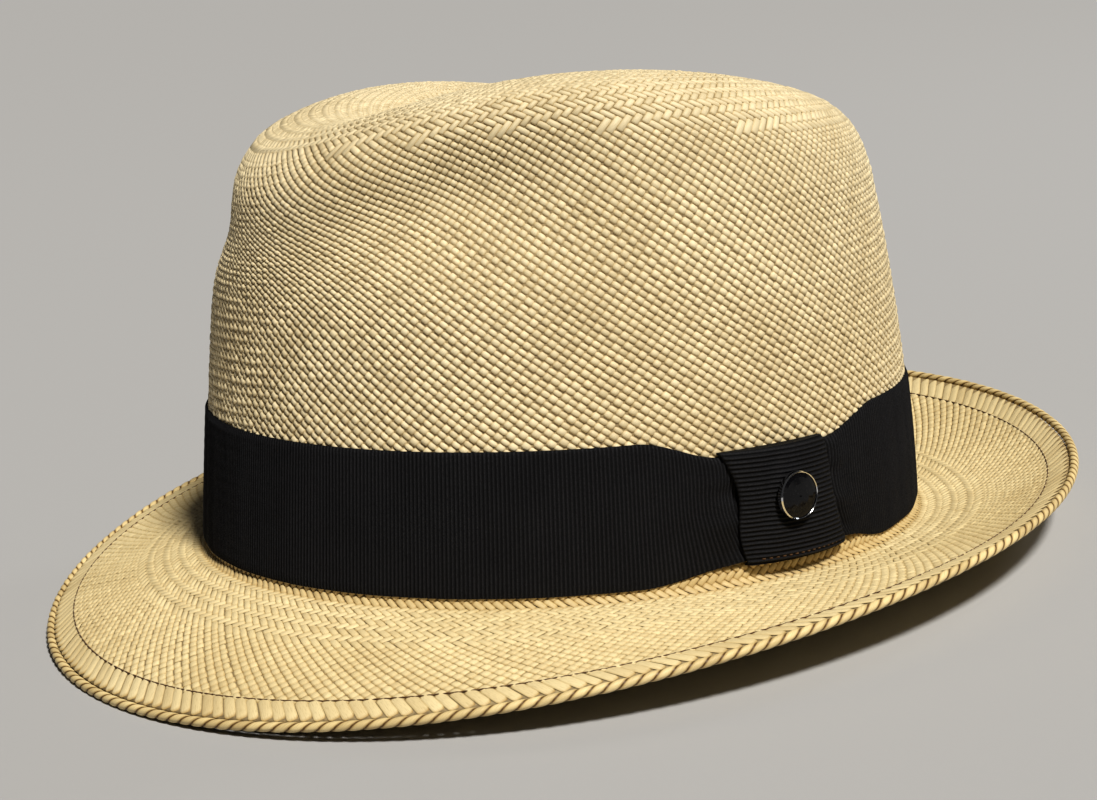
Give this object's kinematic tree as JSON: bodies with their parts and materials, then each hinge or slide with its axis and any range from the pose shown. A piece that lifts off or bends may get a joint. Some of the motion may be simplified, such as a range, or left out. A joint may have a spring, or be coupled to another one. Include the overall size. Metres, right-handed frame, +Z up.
{
  "type": "panama hat",
  "caption": "Woven straw fedora with a pinched teardrop crown, snap brim, wide black grosgrain ribbon and a small turning pin on the ribbon's knot.",
  "frame": {"origin": "on the table under the middle of the brim's outline, with the hat resting on its front rim and rear break", "axes": "+X the wearer's left (the knot's side), +Y towards the back of the head, +Z up; the head opening's plane leans back 4.9 degrees because of the dipped front brim"},
  "size_m": [0.2634, 0.2965, 0.1379],
  "materials": {
    "straw": "woven toquilla straw, satin strands",
    "straw_cord": "twisted straw rim",
    "straw_thread": "back-woven strand, slightly darker",
    "ribbon": "black grosgrain ribbon, low sheen",
    "brown_thread": "brown sewing thread",
    "leather": "smooth tan sweatband leather",
    "leather_piping": "leather-covered reed",
    "pale_thread": "pale sewing thread",
    "satin_bow": "small black satin bow",
    "label_cloth": "blank woven label",
    "polished_steel": "polished",
    "black_enamel": "glossy domed enamel",
    "brass_clutch": "plain brass"
  },
  "bodies": {
    "hat": {"straw_body": "straw", "brim_edge_cord": "straw_cord", "brim_hem_thread": "straw_thread", "ribbon_band": "ribbon", "knot_wrap": "ribbon", "knot_stitches": "brown_thread", "sweatband": "leather", "sweatband_reed": "leather_piping", "sweatband_stitching": "pale_thread", "sweatband_bow": "satin_bow", "size_label": "label_cloth"},
    "clutch": {"badge_clutch": "brass_clutch"},
    "badge": {"badge_bezel": "polished_steel", "badge_enamel": "black_enamel", "badge_post": "polished_steel"}
  },
  "joints": [
    {"name": "badge_turn", "type": "hinge", "parent": "hat", "child": "clutch", "pos_m": [0.09131, 0.00829, 0.03154], "axis": [0.9959, 0.0603, 0.0674], "continuous": true},
    {"name": "badge_pull", "type": "slide", "parent": "clutch", "child": "badge", "axis": [0.9959, 0.0603, 0.0674], "range_m": [0, 0.012]}
  ]
}
